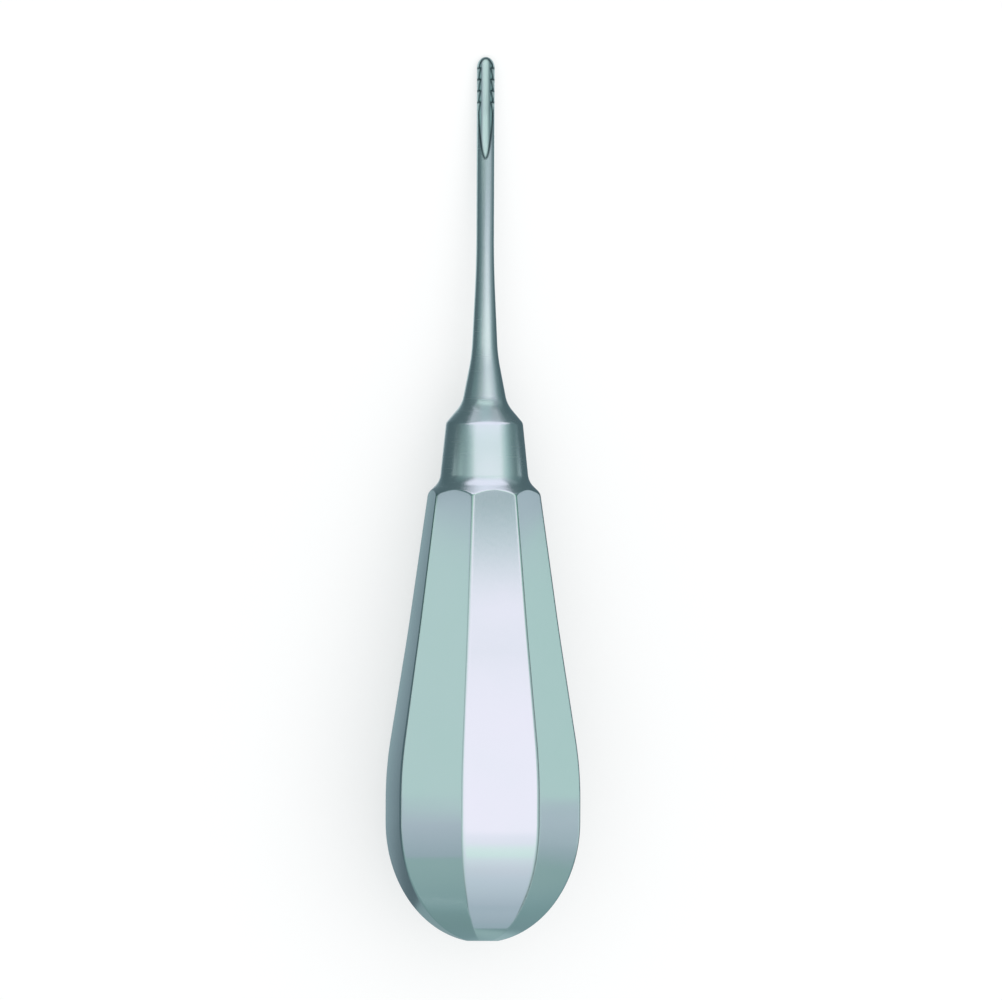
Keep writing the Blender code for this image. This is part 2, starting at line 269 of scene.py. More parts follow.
# Each card's lowest and highest corner, and its colour or its tones along the axes 0 to 2
CARDS = (
    ("left_card", (-0.2, -0.45, 0.005), (-0.2, 0.080, 0.095), {1: LEFT_TONES}),
    ("rear_wall", (-0.22, -0.60, 0.0), (0.22, -0.60, 0.27), {2: WALL_TONES}),
    ("rear_paper", (-0.22, -0.60, 0.0004), (0.22, -0.0715, 0.0004), {0: REAR_TONES}),
    ("far_paper", (-0.01, -0.60, 0.0006), (0.12, -0.17, 0.0006), (0.65, 0.66, 0.74)),
    ("right_dim_paper", (0.10, -0.094, 0.0006), (0.22, -0.0505, 0.0006), {1: DIM_TONES}),
    ("right_cool_paper", (0.055, 0.0045, 0.0004), (0.14, 0.030, 0.0004), {1: COOL_TONES}),
    ("right_pale_paper", (0.055, -0.0505, 0.0005), (0.22, 0.0045, 0.0005), (0.89, 0.97, 0.94)),
    ("front_paper", (-0.10, 0.078, 0.0004), (0.10, 0.20, 0.0004), (1.60, 1.30, 1.50)),
    ("far_front_paper", (-0.10, 0.20, 0.0004), (0.10, 0.40, 0.0004), (0.50, 0.60, 0.60)),
    ("front_card", (-0.12, 0.35, 0.06), (0.12, 0.35, 0.20), (0.85, 0.75, 0.84)),
    ("flare_card", (-0.06, 0.30, 0.0), (0.06, 0.30, 0.075), (0.42, 0.54, 0.55)),
    ("foot_card", (-0.015, 0.0185, 0.015), (0.013, 0.0185, 0.0335), {2: FOOT_TONES}),
    ("collar_scrim", (-0.055, 0.0205, 0.06), (0.050, 0.037, 0.06), {1: COLLAR_TONES, 0: COLLAR_SHARES}),
    ("shank_scrim", (-0.055, 0.037, 0.06), (0.050, 0.0735, 0.06), {1: SHANK_TONES, 0: SHANK_SHARES}),
    ("blade_scrim", (-0.055, 0.0745, 0.06), (0.050, 0.105, 0.06), {1: BLADE_TONES, 0: BLADE_SHARES}),
    ("neck_scrim", (-0.05, 0.105, 0.06), (0.05, 0.29, 0.06), (0.52, 0.56, 0.60)),
    (
        "collar_left_card",
        (-0.055, 0.0155, 0.0),
        (-0.055, 0.037, 0.060),
        {2: COLLAR_LEFT_TONES, 1: COLLAR_SIDE_SHARES},
    ),
    ("collar_low_card", (-0.055, 0.0105, 0.0), (-0.055, 0.0155, 0.018), (0.15, 0.20, 0.22)),
    ("collar_right_card", (0.050, 0.0105, 0.0), (0.050, 0.037, 0.060), {2: COLLAR_RIGHT_TONES}),
    ("shank_left_card", (-0.055, 0.037, 0.0), (-0.055, 0.0725, 0.060), {2: SHANK_LEFT_TONES, 1: SIDE_SHARES}),
    ("blade_left_card", (-0.055, 0.0725, 0.0), (-0.055, 0.105, 0.060), {2: BLADE_LEFT_TONES}),
    ("shank_right_card", (0.050, 0.037, 0.0), (0.050, 0.105, 0.060), {2: SHANK_RIGHT_TONES, 1: SIDE_SHARES}),
)


def number(name, description, default, **limits):
    return FloatProperty(name=name, description=description, default=default, **limits)


def length(name, description, default):
    """A length in metres, shown in the scene's unit."""
    return number(name, description, default, min=-1.0, precision=5, unit="LENGTH")


def colour(name, description, default):
    return FloatVectorProperty(
        name=name, description=description, default=default, size=3, min=0.0, max=1.0, subtype="COLOR"
    )


class ElevatorHandle(PropertyGroup):
    butt_length: length("Butt length", "Rounded end of the handle, along the axis", 19.6 * MM)
    belly_length: length("Belly length", "From the butt to where the flank would start", 8.6 * MM)
    flank_length: length("Flank length", "From the belly to the shoulder", 45.1 * MM)
    shoulder_length: length("Shoulder length", "Height of the step down to the collar", 2.1 * MM)
    butt_flat_radius: length("Butt flat radius", "Small flat at the very end", 2.6 * MM)
    belly_radius: length("Belly radius", "Widest radius of the handle over its lands", 16.25 * MM)
    shoulder_radius: length("Shoulder radius", "Radius at the top of the handle", 9.4 * MM)
    flank_hollow: length("Flank hollow", "How far the flank is hollowed at its middle", 0.2 * MM)
    belly_round: length("Belly round", "Radius of the arc from the belly into the flank", 62.0 * MM)
    flank_round: length("Flank round", "Radius of the hollow's arc", 400.0 * MM)
    shoulder_round: length("Shoulder round", "Radius on the shoulder's edge", 1.1 * MM)
    flat_count: IntProperty(name="Flats", description="Flats ground along the handle", default=8, min=3)
    flats_turn: number("Flats' turn", "Angle of the flats against the gouge", math.radians(11.25), subtype="ANGLE")
    land_width: length("Land width", "Turned strip left between two flats, at the belly", 0.5 * MM)
    edge_softness: length("Edge softness", "How far the polishing has rounded the flats' edges", 0.03 * MM)


class ElevatorShank(PropertyGroup):
    overall_length: length("Overall length", "From the butt to the tip", 145.0 * MM)
    collar_length: length("Collar length", "Cone above the shoulder", 9.6 * MM)
    flare_length: length("Flare length", "Steep part above the collar", 3.1 * MM)
    neck_length: length("Neck length", "Slimmer part above the flare", 8.0 * MM)
    taper_length: length("Taper length", "From the neck to the straight shank", 15.0 * MM)
    collar_foot_radius: length("Collar foot radius", "Radius of the collar at its foot", 7.3 * MM)
    collar_top_radius: length("Collar top radius", "Radius of the collar at its top", 6.3 * MM)
    flare_radius: length("Flare radius", "Radius at the top of the flare", 3.7 * MM)
    neck_radius: length("Neck radius", "Radius at the top of the neck", 2.15 * MM)
    shank_radius: length("Shank radius", "Radius of the straight shank", 1.45 * MM)
    collar_foot_fillet: length("Collar foot fillet", "Radius in the corner at the collar's foot", 3.0 * MM)
    collar_top_round: length("Collar top round", "Radius on the collar's top edge", 1.2 * MM)
    flare_fillet: length("Flare fillet", "Radius from the flare into the neck", 5.0 * MM)
    neck_fillet: length("Neck fillet", "Radius from the neck into the taper", 30.0 * MM)
    shank_fillet: length("Shank fillet", "Radius from the taper into the shank", 200.0 * MM)


class ElevatorBlade(PropertyGroup):
    blade_length: length("Blade length", "Fully forged part, from the tip", 14.0 * MM)
    nose_length: length("Nose length", "Rounded end of the blade, seen from the front", 1.8 * MM)
    flatness: number("Flatness", "Depth of the blade over its width", 0.8)
    edge_length: length("Edge length", "Part that thins towards the tip", 4.0 * MM)
    edge_flatness: number("Edge flatness", "Depth over width at the tip", 0.3)
    edge_set_back: length("Edge set-back", "How far the tip lies behind the axis", 0.43 * MM)
    edge_bluntness: length("Edge bluntness", "Thickness left in front of the tip's middle", 0.05 * MM)
    channel_radius: length("Channel radius", "Radius of the gouge's channel", 1.2 * MM)
    channel_length: length("Channel length", "From the tip to the channel's run-out", 16.6 * MM)
    ramp_length: length("Ramp length", "Part over which the channel rises to its run-out", 6.9 * MM)
    ramp_fillet: length("Ramp fillet", "Radius where the floor turns into the ramp", 15.0 * MM)
    rise_at_tip: length("Rise at the tip", "Rise of the channel's floor at the tip", -0.25 * MM)
    rise_at_ramp: length("Rise at the ramp", "Rise of the channel's floor at the ramp's foot", 0.0)
    barb_count: IntProperty(name="Barbs", description="Barbs along each lip", default=4, min=1)
    first_barb: length("First barb", "From the tip to the first barb's point", 1.65 * MM)
    barb_pitch: length("Barb pitch", "From one barb's point to the next", 1.87 * MM)
    barb_depth: length("Barb depth", "Depth of the notch behind a barb", 0.43 * MM)
    barb_lean: length("Barb lean", "How far a notch's steep side leans back", 0.2 * MM)
    first_barb_rise: length("First barb's rise", "Rise of the barb next to the tip", 0.55 * MM)
    last_barb_rise: length("Last barb's rise", "Rise of the barb next to the handle", 0.75 * MM)


class ElevatorSteel(PropertyGroup):
    steel: colour("Steel", "Colour of the ground steel", (0.43, 0.59, 0.585))
    steel_cool: colour("Cooler steel", "Second tone, in soft clouds over the first", (0.46, 0.60, 0.61))
    edge_tint: colour("Edge tint", "Tint of the steel seen at a slant", (0.80, 0.86, 0.90))
    # Painted shade: a darker tint over the lands near the shoulder, where their reflection would be lighter
    land_shade_tint: colour("Land tint", "Tint of the lands between the flats, near the shoulder", (0.25, 0.44, 0.38))
    # Painted shade: a dark tint along the gouge's edges and over the filed faces
    edge_line_shade: colour("Line tint", "Tint of the steel in the fine lines along the gouge's edges", (0.05, 0.09, 0.10))
    ground_roughness: number("Ground roughness", "Roughness of the ground flats", 0.13)
    turned_roughness: number("Turned roughness", "Roughness of the turned parts", 0.27)
    gouge_roughness: number("Gouge roughness", "Roughness of the gouge", 0.34)
    # Width of the painted shade lines along the gouge's edges
    line_width: length("Line width", "Width of the fine lines along the gouge's edges", 0.36 * MM)
    grain_depth: number("Grain depth", "Strength of the grinding lines", 0.05)
    brushing: number("Brushing", "How far the lines stretch the highlights", 0.6)


class ElevatorStage(PropertyGroup):
    floor_colour: colour("Floor", "Colour of the studio floor", (0.95, 0.95, 0.95))
    floor_whiteness: number("Floor whiteness", "Share of the floor that shows plain white", 0.55, min=0.0, max=1.0)
    floor_size: length("Floor size", "Side of the square floor", 6.0)
    horizon: colour("Horizon", "Colour of the studio's walls low down", (0.20, 0.23, 0.24))
    ceiling: colour("Ceiling", "Colour of the studio higher up", (0.98, 1.0, 1.0))
    box_height: length("Box height", "Height of the big soft box over the floor", 0.27)
    box_width: length("Box width", "Soft box across the elevator", 0.44)
    box_rear: length("Box's rear", "Place of the box's end along Y, behind the butt", -0.62)
    box_front: length("Box's front", "Place of the box's other end along Y", 0.26)
    shade_across: length("Shade across", "Place of the dark shade on the soft box, along X", 0.054)
    shade_along: length("Shade along", "Place of the dark shade on the soft box, along Y", 0.122)
    shade_width: length("Shade width", "Half the width of the dark shade", 0.045)
    shade_length: length("Shade length", "Half the length of the dark shade", 0.034)
    fill_strength: number("Fill strength", "Brightness of the fill light", 0.40)
    flag_edge_width: length("Flag edge width", "Over which the floor flags turn dark", 5.0 * MM)
    picture_width: length("Picture width", "Width of the view at the elevator", 0.16436)
    tip_across: number("Tip across", "Place of the tip in the image, in pixels", 485.9)
    tip_down: number("Tip down", "Place of the tip in the image, in pixels", 57.0)
    butt_across: number("Butt across", "Place of the butt in the image, in pixels", 482.4)


def mix(start, end, share):
    return start + (end - start) * share


def even_shares(steps):
    return [step / steps for step in range(steps + 1)]


def turn_at(before, corner, after):
    return (corner - before).angle(after - corner)


def rounded_outline(corners, radii, steps):
    """Straight lines between the corners, with each inner corner rounded as far as there is room."""
    reaches = [0.0]
    for index, radius in enumerate(radii, start=1):
        reaches.append(radius * math.tan(turn_at(*corners[index - 1 : index + 2]) / 2))
    reaches.append(0.0)
    points = [corners[0]]
    for index in range(1, len(corners) - 1):
        before, corner, after = corners[index - 1 : index + 2]
        room_before = (corner - before).length / (reaches[index] + reaches[index - 1])
        room_after = (after - corner).length / (reaches[index] + reaches[index + 1])
        reach = reaches[index] * min(1.0, 0.99 * room_before, 0.99 * room_after)
        points += arc_in_corner(before, corner, after, reach, steps)
    return points + [corners[-1]]


def arc_in_corner(before, corner, after, reach, steps):
    """The arc that leaves the first line at this reach before the corner."""
    way_back = (before - corner).normalized()
    way_on = (after - corner).normalized()
    turn = turn_at(before, corner, after)
    centre = corner + (way_back + way_on).normalized() * (reach / math.sin(turn / 2))
    spoke = corner + way_back * reach - centre
    last_spoke = corner + way_on * reach - centre
    sweep = math.atan2(spoke.cross(last_spoke), spoke.dot(last_spoke))
    return [centre + Matrix.Rotation(sweep * share, 2) @ spoke for share in even_shares(steps)]


def with_rings(outline, widest_gap):
    """The outline with points added, so that no span is longer than the gap allowed at its height."""
    points = [outline[0]]
    for start, end in zip(outline, outline[1:]):
        count = max(1, math.ceil((end - start).length / widest_gap((start.x + end.x) / 2)))
        points += [start.lerp(end, step / count) for step in range(1, count + 1)]
    return points


def butt_dome(handle):
    """Part of a half ellipse, from the small flat at the butt out to the belly."""
    first = math.asin(handle.butt_flat_radius / handle.belly_radius)
    depth = handle.butt_length / math.cos(first)
    angles = [mix(first, math.pi / 2, share) for share in even_shares(DOME_STEPS)]
    return [
        Vector((handle.butt_length - depth * math.cos(angle), handle.belly_radius * math.sin(angle)))
        for angle in angles
    ]


def flank_corners(handle):
    """The belly's end, the middle of the slightly hollow flank, and the shoulder."""
    belly = Vector((handle.butt_length + handle.belly_length, handle.belly_radius))
    shoulder = Vector((belly.x + handle.flank_length, handle.shoulder_radius))
    return [belly, (belly + shoulder) / 2 - Vector((0, handle.flank_hollow)), shoulder]


def handle_outline(handle):
    """The handle with its shoulder left sharp, and the flank's line carried on past it."""
    dome = butt_dome(handle)
    corners = [dome[-1]] + flank_corners(handle)
    outline = dome[:-1] + rounded_outline(corners, [handle.belly_round, handle.flank_round], ROUND_STEPS)
    slope = (outline[-1].y - outline[-2].y) / (outline[-1].x - outline[-2].x)
    return outline[:-1] + [outline[-1] + Vector((1, slope)) * handle.shoulder_length]


def shank_start(handle, shank):
    """Height at which the straight shank starts."""
    upper = shank.collar_length + shank.flare_length + shank.neck_length + shank.taper_length
    return flank_corners(handle)[-1].x + handle.shoulder_length + upper


def gouge_foot(shank, blade):
    """Height just below the channel's run-out."""
    return shank.overall_length - blade.channel_length - GOUGE_MARGIN


def blank_outline(handle, shank, blade):
    """The whole turned outline, from the middle of the butt to the tip."""
    dome = butt_dome(handle)
    corners = [dome[-1]] + flank_corners(handle)
    steps_up = (
        (handle.shoulder_length, shank.collar_foot_radius),
        (shank.collar_length, shank.collar_top_radius),
        (shank.flare_length, shank.flare_radius),
        (shank.neck_length, shank.neck_radius),
        (shank.taper_length, shank.shank_radius),
    )
    for step, radius in steps_up:
        corners.append(Vector((corners[-1].x + step, radius)))
    corners.append(Vector((shank.overall_length - blade.nose_length, shank.shank_radius)))
    radii = [
        handle.belly_round,
        handle.flank_round,
        handle.shoulder_round,
        shank.collar_foot_fillet,
        shank.collar_top_round,
        shank.flare_fillet,
        shank.neck_fillet,
        shank.shank_fillet,
    ]
    outline = [Vector((0, 0))] + dome[:-1] + rounded_outline(corners, radii, ROUND_STEPS)
    shoulder = corners[3].x
    shank_foot = corners[-3].x

    def widest_gap(height):
        if abs(height - shoulder) < handle.shoulder_length:
            return SHOULDER_GAP
        if height < shank_foot:
            return HANDLE_GAP
        return SHANK_GAP if height < gouge_foot(shank, blade) else BLADE_GAP

    return with_rings(outline + nose(shank, blade)[1:], widest_gap)


def nose(shank, blade):
    """A quarter ellipse from the blade's side to the tip."""
    start = shank.overall_length - blade.nose_length
    angles = [share * math.pi / 2 for share in even_shares(NOSE_STEPS)]
    points = [
        Vector((start + blade.nose_length * math.sin(angle), shank.shank_radius * math.cos(angle)))
        for angle in angles
    ]
    points[-1].y = 0
    return points


def height_to_radius(outline):
    """A function that reads an outline's radius at a height, and is endless above its last point."""

    def radius_at(height):
        for low, high in zip(outline, outline[1:]):
            if height <= high.x:
                return mix(low.y, high.y, (height - low.x) / (high.x - low.x))
        return math.inf

    return radius_at


def soft_least(first, second, softness):
    """The smaller of two radii, with the corner where they cross rounded."""
    overlap = max(softness - abs(first - second), 0.0) / softness
    return min(first, second) - overlap * overlap * softness / 4


def grind_flats(shape, handle):
    """Grinds the flats into the turned blank, and marks what is ground and which lands get painted shade near the
    shoulder.
    """
    half = math.pi / handle.flat_count
    depth = math.cos(half - handle.land_width / 2 / handle.belly_radius)
    turned_at = height_to_radius(handle_outline(handle))
    back_flat = math.pi / 2 + handle.flats_turn
    shoulder = flank_corners(handle)[-1].x
    ground_mark = shape.verts.layers.float.new("ground")
    land_shade_mark = shape.verts.layers.float.new("land")
    rows = {}
    for vert in shape.verts:
        turned = vert.co.xy.length
        if turned < MERGE_DISTANCE:
            continue
        height = vert.co.z
        if height not in rows:
            rows[height] = turned_at(height) * depth
        angle = math.atan2(vert.co.y, vert.co.x) - back_flat
        flat = round(angle / (2 * half)) * 2 * half
        off = half * math.sin((angle - flat) / half * math.pi / 2)
        ground = rows[height] / math.cos(off)
        radius = soft_least(turned, ground, handle.edge_softness)
        share = (turned - ground) / handle.edge_softness
        vert[ground_mark] = min(max(0.5 + share / 2, 0.0), 1.0)
        # Painted shade on the lands: strongest at the shoulder, fading out down the flank
        near_shoulder = 1 - abs(height - shoulder) / LAND_SHADE_REACH if height < shoulder else 0.0
        vert[land_shade_mark] = (1.0 - vert[ground_mark]) * max(near_shoulder, 0.0)
        place = Matrix.Rotation(back_flat + flat + off, 2) @ Vector((radius, 0))
        vert.co = (place.x, place.y, height)


def blade_section(height, start, shank, blade):
    """How flat the section is here, and how far its middle lies behind the axis."""
    blade_start = shank.overall_length - blade.blade_length
    share = min(max((height - start) / (blade_start - start), 0.0), 1.0)
    flatness = mix(1.0, blade.flatness, share * share * (3 - 2 * share))
    edge = max(0.0, 1 - (shank.overall_length - height) / blade.edge_length) ** 2
    return mix(flatness, blade.edge_flatness, edge), blade.edge_set_back * edge


def forge_blade(shape, start, shank, blade):
    for vert in shape.verts:
        flatness, set_back = blade_section(vert.co.z, start, shank, blade)
        vert.co.y = vert.co.y * flatness + set_back


def new_object(name, shape, tool=TURNED):
    bmesh.ops.remove_doubles(shape, verts=shape.verts, dist=MERGE_DISTANCE)
    bmesh.ops.recalc_face_normals(shape, faces=shape.faces)
    for face in shape.faces:
        face.material_index = tool
    mesh = bpy.data.meshes.new(name)
    shape.to_mesh(mesh)
    shape.free()
    thing = bpy.data.objects.new(name, mesh)
    bpy.context.scene.collection.objects.link(thing)
    return thing


def turned_blank(handle, shank, blade):
    """The outline spun about the axis, ground and forged."""
    shape = bmesh.new()
    corner_angle = math.pi / 2 + handle.flats_turn + math.pi / handle.flat_count
    start = Matrix.Rotation(corner_angle, 4, "Z")
    outline = blank_outline(handle, shank, blade)
    verts = [shape.verts.new(start @ Vector((radius, 0, height))) for height, radius in outline]
    edges = [shape.edges.new(pair) for pair in zip(verts, verts[1:])]
    bmesh.ops.spin(
        shape,
        geom=verts + edges,
        axis=(0, 0, 1),
        cent=(0, 0, 0),
        angle=2 * math.pi,
        steps=handle.flat_count * SIDES_PER_FLAT,
        use_merge=True,
    )
    bmesh.ops.remove_doubles(shape, verts=shape.verts, dist=MERGE_DISTANCE)
    grind_flats(shape, handle)
    forge_blade(shape, shank_start(handle, shank), shank, blade)
    return new_object("elevator_of_satin_steel", shape)


def channel_path(start, shank, blade):
    """The channel's floor as (height, rise): along the blade, then up the ramp and out of the metal."""
    run_out_height = shank.overall_length - blade.channel_length
    flatness, _ = blade_section(run_out_height, start, shank, blade)
    tip = Vector((shank.overall_length, blade.rise_at_tip))
    ramp_foot = Vector((run_out_height + blade.ramp_length, blade.rise_at_ramp))
    run_out = Vector((run_out_height, shank.shank_radius * flatness))
    before_tip = tip + (tip - ramp_foot).normalized() * CUTTER_MARGIN
    past_run_out = run_out + (run_out - ramp_foot).normalized() * CUTTER_MARGIN
    return rounded_outline([before_tip, ramp_foot, past_run_out], [blade.ramp_fillet], RAMP_STEPS)


def channel_wheel(start, shank, blade):
    """A round bar along the channel's path: what the grinding wheel takes away."""
    radius = blade.channel_radius
    floor = with_rings(channel_path(start, shank, blade), lambda height: CHANNEL_GAP)
    path = [Vector((0, -rise - radius, height)) for height, rise in floor]
    shape = bmesh.new()
    place = Matrix.Translation(path[0])
    bmesh.ops.create_circle(shape, radius=radius, segments=CHANNEL_SIDES, matrix=place)
    rim = list(shape.edges)
    for step in (end - start for start, end in zip(path, path[1:])):
        grown = bmesh.ops.extrude_edge_only(shape, edges=rim)["geom"]
        rim = [item for item in grown if isinstance(item, bmesh.types.BMEdge)]
        bmesh.ops.translate(shape, vec=step, verts=list({vert for edge in rim for vert in edge.verts}))
    bmesh.ops.holes_fill(shape, edges=shape.edges)
    return new_object("channel_wheel", shape, CHANNELLED)


def lip_line(shank, blade):
    """The filed lips seen from the side, as (distance from the tip, rise)."""
    edge = Vector((0, blade.edge_bluntness - blade.edge_set_back))
    barbs = []
    for index in range(blade.barb_count):
        rise = mix(blade.first_barb_rise, blade.last_barb_rise, index / max(1, blade.barb_count - 1))
        point = Vector((blade.first_barb + index * blade.barb_pitch, rise))
        barbs += [point, point + Vector((blade.barb_lean, -blade.barb_depth))]
    clear = shank.shank_radius + CUTTER_MARGIN
    before_edge = edge - (barbs[0] - edge) * (CUTTER_MARGIN / blade.first_barb)
    slope = blade.barb_depth / (blade.barb_pitch - blade.barb_lean)
    run_out = Vector((barbs[-1].x + (clear - barbs[-1].y) / slope, clear))
    return [before_edge] + barbs + [run_out, Vector((before_edge.x, clear))]


def lip_file(shank, blade):
    """A bar with the side view of the filed lips, across the blade: what the file takes away."""
    shape = bmesh.new()
    wide = shank.shank_radius + CUTTER_MARGIN
    tip = shank.overall_length
    line = with_rings(lip_line(shank, blade), lambda place: LIP_GAP)
    verts = [shape.verts.new((-wide, -rise, tip - place)) for place, rise in line]
    side = shape.faces.new(verts)
    grown = bmesh.ops.extrude_face_region(shape, geom=[side])["geom"]
    far_side = [item for item in grown if isinstance(item, bmesh.types.BMVert)]
    bmesh.ops.translate(shape, vec=(2 * wide, 0, 0), verts=far_side)
    across = [edge for edge in shape.edges if abs(edge.verts[0].co.x - edge.verts[1].co.x) > wide]
    cuts = math.ceil(2 * wide / LIP_GAP)
    bmesh.ops.subdivide_edges(shape, edges=across, cuts=cuts, use_grid_fill=True)
    return new_object("lip_file", shape, FILED)


def cut_away(piece, cutter):
    """Takes the cutter's shape out of the piece and clears the cutter away."""
    modifier = piece.modifiers.new(cutter.name, "BOOLEAN")
    modifier.operation = "DIFFERENCE"
    modifier.object = cutter
    graph = bpy.context.evaluated_depsgraph_get()
    shaped = bpy.data.meshes.new_from_object(piece.evaluated_get(graph))
    piece.modifiers.clear()
    piece.data = shaped
    bpy.data.objects.remove(cutter)


def mark_gouge(piece, foot, line_width):
    """Marks the points on cut surfaces above this height, and how near each point is to a cut's edge, which sets
    painted shade: dark lines along the edges and a darkening over the filed faces.
    """
    shape = bmesh.new()
    shape.from_mesh(piece.data)
    ground_mark = shape.verts.layers.float["ground"]
    land_shade_mark = shape.verts.layers.float["land"]
    cut_mark = shape.verts.layers.float.new("cut")
    edge_line_shade_mark = shape.verts.layers.float.new("line")
    samples = []
    for edge in shape.edges:
        low, high = (vert.co for vert in edge.verts)
        tools = {face.material_index for face in edge.link_faces}
        folded = tools == {FILED} and edge.calc_face_angle(0) > SHARP_ANGLE
        if folded or (len(tools) > 1 and CHANNELLED in tools):
            count = max(1, math.ceil(edge.calc_length() / (line_width / 4)))
            samples += [low.lerp(high, step / count) for step in range(count + 1)]
    tree = KDTree(len(samples))
    for index, sample in enumerate(samples):
        tree.insert(sample, index)
    tree.balance()
    for vert in shape.verts:
        if vert.co.z < foot:
            continue
        tools = {face.material_index for face in vert.link_faces}
        nearness = max(0.0, 1 - tree.find(vert.co)[2] / line_width)
        line = nearness * nearness * (3 - 2 * nearness)
        # Painted shade: dark lines near the cut edges, and a set least darkness over the filed faces
        vert[edge_line_shade_mark] = max(line, FILED_SHADE) if FILED in tools else line
        vert[cut_mark] = float(tools != {TURNED})
        vert[ground_mark] = 0.0
        vert[land_shade_mark] = 0.0
    for face in shape.faces:
        face.material_index = 0
    shape.to_mesh(piece.data)
    shape.free()


def bench_to_table(flats_turn):
    """Takes the upright elevator on the bench to where it lies in the frame."""
    up = Vector((0, 0, 1))
    top_flat = (up - ALONG * up.dot(ALONG)).normalized()
    back = -(Matrix.Rotation(-flats_turn, 3, ALONG) @ top_flat)
    turn = Matrix((back.cross(ALONG), back, ALONG)).transposed().to_4x4()
    return Matrix.Translation(BUTT) @ turn


class Nodes:
    """Adds nodes to a material or a world, and joins them."""

    def __init__(self, tree):
        self.tree = tree
        tree.nodes.clear()

    def add(self, kind, **settings):
        node = self.tree.nodes.new(kind)
        for name, value in settings.items():
            setattr(node, name, value)
        return node

    def join(self, source, target):
        self.tree.links.new(source, target)

    def show(self, shader, kind="ShaderNodeOutputMaterial"):
        self.join(shader, self.add(kind).inputs["Surface"])

    def mark(self, name):
        """How far the mesh's points carry this mark."""
        return self.add("ShaderNodeAttribute", attribute_name=name).outputs["Fac"]

    def place(self):
        return self.add("ShaderNodeTexCoord").outputs["Object"]

    def stretched(self, vector, scale):
        node = self.add("ShaderNodeMapping")
        self.join(vector, node.inputs["Vector"])
        node.inputs["Scale"].default_value = scale
        return node.outputs["Vector"]

    def vector_maths(self, operation, first, second):
        """The first vector is another node's, and the second one is fixed."""
        node = self.add("ShaderNodeVectorMath", operation=operation)
        self.join(first, node.inputs[0])
        node.inputs[1].default_value = second
        return node.outputs["Vector"]

    def sum(self, first, second):
        node = self.add("ShaderNodeMath", operation="ADD")
        self.join(first, node.inputs[0])
        self.join(second, node.inputs[1])
        return node.outputs["Value"]

    def noise(self, vector, scale, detail):
        node = self.add("ShaderNodeTexNoise")
        self.join(vector, node.inputs["Vector"])
        node.inputs["Scale"].default_value = scale
        node.inputs["Detail"].default_value = detail
        return node.outputs["Fac"]

    def spread(self, value, low, high):
        """Maps 0..1 to low..high."""
        node = self.add("ShaderNodeMapRange")
        self.join(value, node.inputs["Value"])
        node.inputs["To Min"].default_value = low
        node.inputs["To Max"].default_value = high
        return node.outputs["Result"]

    def ramp(self, value, tones):
        """A colour that changes with the value: tones are (value, colour), from the lowest value up."""
        low, high = tones[0][0], tones[-1][0]
        share = self.add("ShaderNodeMapRange")
        self.join(value, share.inputs["Value"])
        share.inputs["From Min"].default_value = low
        share.inputs["From Max"].default_value = high
        node = self.add("ShaderNodeValToRGB")
        self.join(share.outputs["Result"], node.inputs["Fac"])
        stops = node.color_ramp.elements
        stops[0].color = (*tones[0][1], 1)
        stops[1].color = (*tones[-1][1], 1)
        for place, tint in tones[1:-1]:
            stops.new((place - low) / (high - low)).color = (*tint, 1)
        return node.outputs["Color"]

    def multiply_colours(self, first, second):
        node = self.add("ShaderNodeMix", data_type="RGBA", blend_type="MULTIPLY")
        node.inputs["Factor"].default_value = 1.0
        self.join(first, node.inputs[6])
        self.join(second, node.inputs[7])
        return node.outputs[2]

    def blend_values(self, share, first, second):
        node = self.add("ShaderNodeMix", data_type="FLOAT")
        self.join(share, node.inputs["Factor"])
        self.join(first, node.inputs["A"])
        self.join(second, node.inputs["B"])
        return node.outputs["Result"]

    def blend_colours(self, share, first, second):
        """Each colour is a fixed one or another node's."""
        node = self.add("ShaderNodeMix", data_type="RGBA")
        self.join(share, node.inputs["Factor"])
        for socket, tint in ((node.inputs[6], first), (node.inputs[7], second)):
            if isinstance(tint, bpy.types.NodeSocket):
                self.join(tint, socket)
            else:
                socket.default_value = (*tint, 1)
        return node.outputs[2]


def new_material(name):
    """An empty material, and what adds its nodes."""
    material = bpy.data.materials.new(name)
    material.use_nodes = True
    return material, Nodes(material.node_tree)


